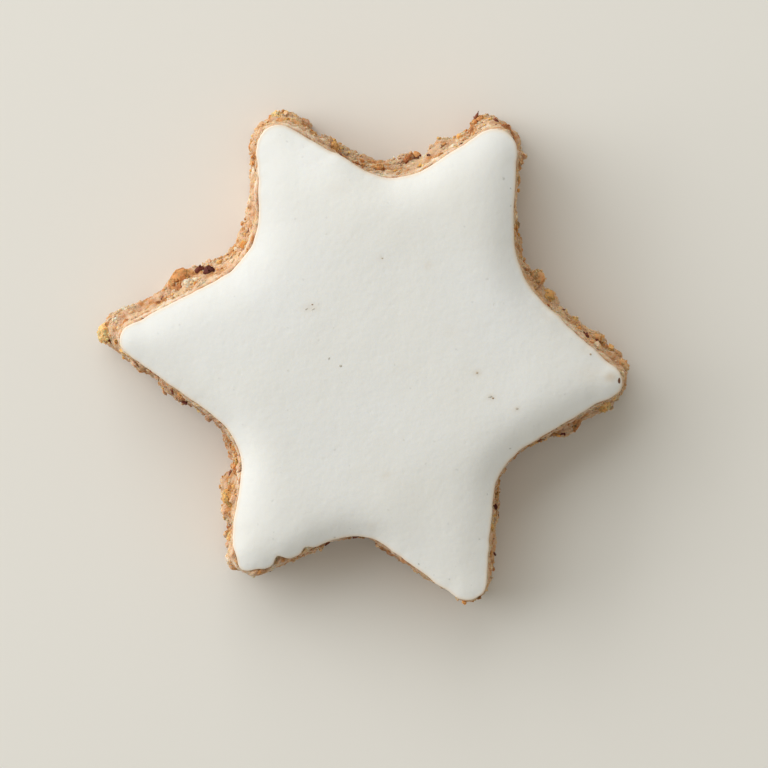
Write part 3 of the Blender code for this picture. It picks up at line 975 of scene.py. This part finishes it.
def softDistance(points, outline, atOnce=4000, least=1e-4):
    # the distance in from the outline, but smooth where two sides are as near: the sum of
    # 1/distance^4 along the outline, scaled so that a straight edge gives the true distance.
    # Also the plain distance. So many points are taken at once, and no squared distance is
    # under the least one
    step = np.linalg.norm(np.roll(outline, -1, axis=0) - outline, axis=1)
    soft = np.empty(len(points))
    plain = np.empty(len(points))
    for start in range(0, len(points), atOnce):
        part = slice(start, start + atOnce)
        squared = ((points[part, None, :] - outline[None, :, :]) ** 2).sum(-1)
        squared = np.maximum(squared, least)
        soft[part] = ((step / squared**2).sum(-1) / (np.pi / 2)) ** (-1 / 3)
        plain[part] = np.sqrt(squared.min(-1))
    return soft, plain


def icingRise(points, inset, bite, outline):
    # the top's height above the rim line: a quarter ellipse over the rim, then a shoulder
    # that levels off as 1 - exp(-(distance + bulge * distance^2) / reach), divided by 1 + the
    # arm's fall times the square of the way out along it, plus slow waves. A chip's wall rises
    # to what the whole edge would have there. Also the distance in
    soft, plain = softDistance(points, outline)
    known = np.where(np.isnan(inset), plain, inset)
    whole = known + bite * ease(known, 0, icing["chipWall"])
    depth = whole + (soft - whole) * ease(whole, *icing["soften"])
    rim = np.clip(1 - known / icing["rimWidth"], 0, 1)
    rise = icing["rimRise"] * np.sqrt(1 - rim**2)
    wayOut = np.clip((np.hypot(*points.T) - icing["armFrom"]) / icing["armSpan"], 0, None)
    around = degreesRound(points)
    fall = np.zeros(len(points))
    for direction, amount in icing["arms"]:
        fall += amount * bell(degreesOff(around, direction), icing["armWidth"]) * wayOut**2
    way = (depth + icing["shoulderBulge"] * depth**2) / icing["shoulderReach"]
    rise += icing["shoulderRise"] * (1 - np.exp(-way)) / (1 + fall)
    for x, y, reach, share in icing["slack"]:
        rise *= 1 - share * bell(farFrom(points, x, y), reach)
    waves = layeredNoise(np.pad(points, ((0, 0), (0, 1))), icing["waves"])
    return rise + waves * ease(known, *icing["wavesFrom"]), known


def stainsAt(points):
    # how stained the icing is: the strongest of its stains, each its strength times a bell
    # along it and a bell across it
    stain = np.zeros(points.shape[:-1])
    for x, y, along, across, turn, strength in icing["stains"]:
        turn = np.radians(turn)
        right, up = points[..., 0] - x, points[..., 1] - y
        onward = right * np.cos(turn) + up * np.sin(turn)
        aside = up * np.cos(turn) - right * np.sin(turn)
        stain = np.maximum(stain, strength * bell(onward, along) * bell(aside, across))
    return stain


def makeIcingMaterial():
    material, tree, shader, place = startMaterial(
        "meringueIcing", roughness=0.55, specular=0.3, subsurface=0.15, reach=(1.0, 0.9, 0.75),
        scale=0.0006)
    wide = noiseNode(tree, place, scale=90.0, detail=3.0)
    colour = mixColour(tree, wide, icing["white"], icing["warm"])
    # painted light: a patch near the upper left arm is made whiter
    colour = mixColour(tree, maskNode(tree, "paintedLightPatch"), colour, icing["paintedLightPatch"])
    inBelt = mathNode(tree, "MULTIPLY", maskNode(tree, "nearRim"), icing["greyInBelt"])
    colour = addSpecks(tree, place, colour, icing["greySpeck"], perMetre=1300.0, share=0.16,
                       size=0.2, softness=0.9,
                       strength=mathNode(tree, "ADD", icing["greyStrength"], inBelt))
    colour = addSpecks(tree, place, colour, icing["greySpeck"], strength=0.08, perMetre=450.0,
                       share=0.2, size=0.16, softness=1.0)
    colour = addSpecks(tree, place, colour, icing["tanSpeck"], strength=0.4, perMetre=620.0,
                       share=0.05, size=0.14, softness=0.9)
    colour = mixColour(tree, maskNode(tree, "stain"), colour, icing["stain"])
    colour = mixColour(tree, maskNode(tree, "rimTint"), colour, icing["rim"])
    ripple = noiseNode(tree, place, scale=600.0, detail=2.0)
    finishShader(tree, shader, colour, place, grit=1900.0, pits=900.0, pitDepth=0.3,
                 relief=0.00004, strength=0.55, extra=mathNode(tree, "MULTIPLY", ripple, icing["ripple"]))
    return material


def icingEdge():
    # the icing's edge from above, before it is chipped: the solid's own ring, from which it
    # strays a little. Also its normals, and how deep the chips bite into it
    outline = smoothLoop(icingRings[1], icing["columns"])
    normals = loopNormals(outline)
    stray = layeredNoise(np.pad(outline, ((0, 0), (0, 1))), icing["stray"])
    bite = sum(deep * bell(farFrom(outline, x, y), wide) for x, y, wide, deep in dough["chips"])
    return outline + normals * stray[:, None], normals, bite


def makeIcing():
    whole, normals, bite = icingEdge()
    edge = whole - normals * bite[:, None]
    foot = normals * icing["foot"]
    rimHeight = icingHeights[1]

    insets = np.array(icing["insets"])[:, None]
    insets = insets * (1 - bite / insets[-1])  # a bite is gone again at the last inset
    belt = whole - normals * (bite + insets)[..., None]
    shares = np.linspace(1, 0, icing["shares"] + 1)[1:-1] ** icing["crowding"]
    inner = belt[-1] * shares[:, None, None]
    flat = np.concatenate((belt, inner))
    known = np.concatenate((insets, np.full(inner.shape[:2], np.nan)))
    bites = np.concatenate((np.tile(bite, (len(belt), 1)), np.zeros(inner.shape[:2])))
    rise, depths = icingRise(flat.reshape(-1, 2), known.ravel(), bites.ravel(), whole)
    depths = depths.reshape(known.shape)
    top = np.dstack((flat, rimHeight + rise.reshape(known.shape)))

    lower = [((edge + foot) * share, icingUnderside) for share in icing["undersideShares"]]
    lower.append((edge + 0.6 * foot, 0.5 * (icingUnderside + rimHeight)))
    lower.append((edge, rimHeight))
    lower = np.array([np.column_stack((ring, np.full(len(ring), height))) for ring, height in lower])
    rows = np.concatenate((lower, top))
    lowerTint = np.ones(lower.shape[:2])
    lowerTint[-1] = icing["edgeTint"]
    masks = {
        "rimTint": np.concatenate((lowerTint, bell(depths, icing["rimTint"]))),
        "paintedLightPatch": bell(farFrom(rows, *icing["paintedLightAt"]), icing["paintedLightReach"]),
        "stain": stainsAt(rows),
        "nearRim": np.concatenate((np.zeros(lower.shape[:2]), bell(depths, icing["rimBelt"]))),
    }
    piece = addSkin("icingTop", rows, makeIcingMaterial(), masks)
    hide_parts("icing")
    return top


icingSurface = makeIcing()

# specks of crumb in the icing: each has its place, length and width, its turn in degrees, and
# its tone from pale grey over tan to brown
marks = {
    "thickness": 0.05,
    "subsurface": 0.1,
    "salt": 17,
    "colours": (srgb(204, 202, 194), srgb(196, 172, 140), srgb(116, 78, 52)),
    "placed": (
        (-5.3, 5.75, 0.22, 0.17, 0, 0.75), (-5.9, 5.3, 0.35, 0.1, 25, 0.1),
        (-5.2, 5.3, 0.4, 0.1, 30, 0.15), (-2.5, -0.4, 0.3, 0.24, 0, 0.1),
        (-3.65, 0.35, 0.26, 0.2, 60, 0.0), (11.2, -1.1, 0.24, 0.2, 30, 0.3),
        (12.8, -3.65, 0.2, 0.16, 0, 0.7), (12.5, -3.5, 0.4, 0.2, 10, 0.15),
        (15.2, -4.7, 0.26, 0.2, 0, 0.2), (1.7, 10.4, 0.14, 0.12, 0, 0.3),
        (18.1, 4.5, 0.4, 0.2, -35, 0.9), (22.2, 1.1, 0.3, 0.2, 0, 0.4),
        (22.6, 0.7, 0.18, 0.16, 0, 0.5), (25.5, -1.95, 0.3, 0.55, 0, 0.95),
    ),
}


def makeMarks():
    x, y, lengths, widths, turns, tones = np.array(marks["placed"]).T
    nearest = farFrom(icingSurface.reshape(-1, 3), x[:, None], y[:, None]).argmin(1)
    heights = icingSurface.reshape(-1, 3)[nearest, 2]
    normals = gridNormals(icingSurface).reshape(-1, 3)[nearest]
    axes = bitAxes(normals, np.radians(turns), guide=(0.0, -1.0, 0.0))
    sizes = np.column_stack((lengths, widths, np.full(len(x), marks["thickness"])))
    specks = fineBits(np.column_stack((x, y, heights)), axes, sizes, marks["salt"])
    points, faces, tone = joinBits((specks, tones))
    addPiece("crumbMarks", points, faces, makeBitMaterial("crumbMarks", marks),
             {"tone": tone})


makeMarks()


# the floor, light and camera

studio = {
    "floorColour": srgb(235, 232, 225),
    "floorPatches": srgb(225, 220, 205),
    "patchiness": 0.04,
    "floorFlat": 0.2,  # metres: level out to here, then rising a little to the rim
    "floorRim": 0.34,
    "floorRise": 0.006,
    "backdrop": srgb(246, 243, 235),  # what is seen beyond the floor
    "fill": srgb(254, 251, 240),
    "fillStrength": 0.39,
    "keyColour": (0.98, 0.99, 1.0),
    # each soft light: degrees round from +x, degrees up, metres away, width and height in
    # metres, watts
    "lights": (
        ("window", 130, 38, 1.15, 1.93, 1.07, 11.6),
        ("nearPanel", 160, 18, 0.8, 0.92, 0.43, 3.65),
    ),
    "viewTilt": 5.0,  # degrees off straight down, towards +Y
    "viewDistance": 0.5,
    "viewWidth": 0.07853,  # metres across the picture, at the floor
    "viewOff": (1.32, -2.815),  # the picture's middle from the icing's, in mm
}


def makeFloor(columns=96, innermost=0.05):
    # a wide round floor: level, then curving up by the square of the way to its rim
    flat, rim = studio["floorFlat"], studio["floorRim"]
    radii = np.concatenate((np.linspace(innermost, flat, 8), np.linspace(flat, rim, 17)[1:]))[::-1]
    heights = studio["floorRise"] * np.clip((radii - flat) / (rim - flat), 0, 1) ** 2
    angles = np.arange(columns) * fullTurn / columns
    rows = roundRows(radii[:, None], angles, heights)
    points = np.vstack((rows.reshape(-1, 3), (0, 0, 0)))
    middle = len(points) - 1
    faces = ringQuads(len(rows), columns) + poleFan(middle, middle - columns + np.arange(columns))
    material, tree, shader, place = startMaterial("paleFloor", roughness=0.6, specular=0.2)
    wide = noiseNode(tree, place, scale=30.0, detail=2.0)
    colour = tint(tree, studio["floorColour"], wide, studio["patchiness"], studio["floorPatches"])
    setInputs(tree, shader, {"Base Color": colour})
    floor = addObject("floor", smoothMesh("floor", points, faces, material))


def makeFill():
    # even light from all round, and a backdrop that only the camera sees
    world = bpy.data.worlds.new("studioFill")
    world.use_nodes = True
    tree = world.node_tree
    fill = setInputs(tree, tree.nodes["Background"], {
        "Color": studio["fill"], "Strength": studio["fillStrength"]})[0]
    seen = addNode(tree, "ShaderNodeBackground", {"Color": studio["backdrop"]})[0]
    path = addNode(tree, "ShaderNodeLightPath", {})["Is Camera Ray"]
    both = addNode(tree, "ShaderNodeMixShader", {0: path, 1: fill, 2: seen})[0]
    setInputs(tree, tree.nodes["World Output"], {"Surface": both})
    scene.world = world


def makeLights():
    for name, around, up, away, width, height, power in studio["lights"]:
        lamp = bpy.data.lights.new(name, "AREA")
        lamp.shape = "RECTANGLE"
        lamp.size = width
        lamp.size_y = height
        lamp.energy = power
        lamp.color = studio["keyColour"]
        panel = addObject(name, lamp)
        around, up = np.radians((around, up))
        direction = Vector((np.cos(around) * np.cos(up), np.sin(around) * np.cos(up), np.sin(up)))
        panel.location = direction * away
        panel.rotation_euler = direction.to_track_quat("Z", "Y").to_euler()
        panel.visible_camera = False


def makeCamera():
    iceLow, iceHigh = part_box("icing")
    target = (iceLow + iceHigh) / 2 + Vector((*studio["viewOff"], 0)) * mm
    target.z = 0.0
    tilt = np.radians(studio["viewTilt"])
    lens = bpy.data.cameras.new("camera")
    lens.sensor_width = 36.0
    lens.lens = lens.sensor_width * studio["viewDistance"] / studio["viewWidth"]
    lens.clip_start = 0.01
    lens.clip_end = 10.0
    camera = addObject("camera", lens)
    camera.location = target + studio["viewDistance"] * Vector((0, np.sin(tilt), np.cos(tilt)))
    camera.rotation_euler = (-tilt, 0.0, 0.0)
    scene.camera = camera


makeFloor()
makeFill()
makeLights()
makeCamera()
scene.view_settings.view_transform = "Standard"
print("floor, light and camera set")
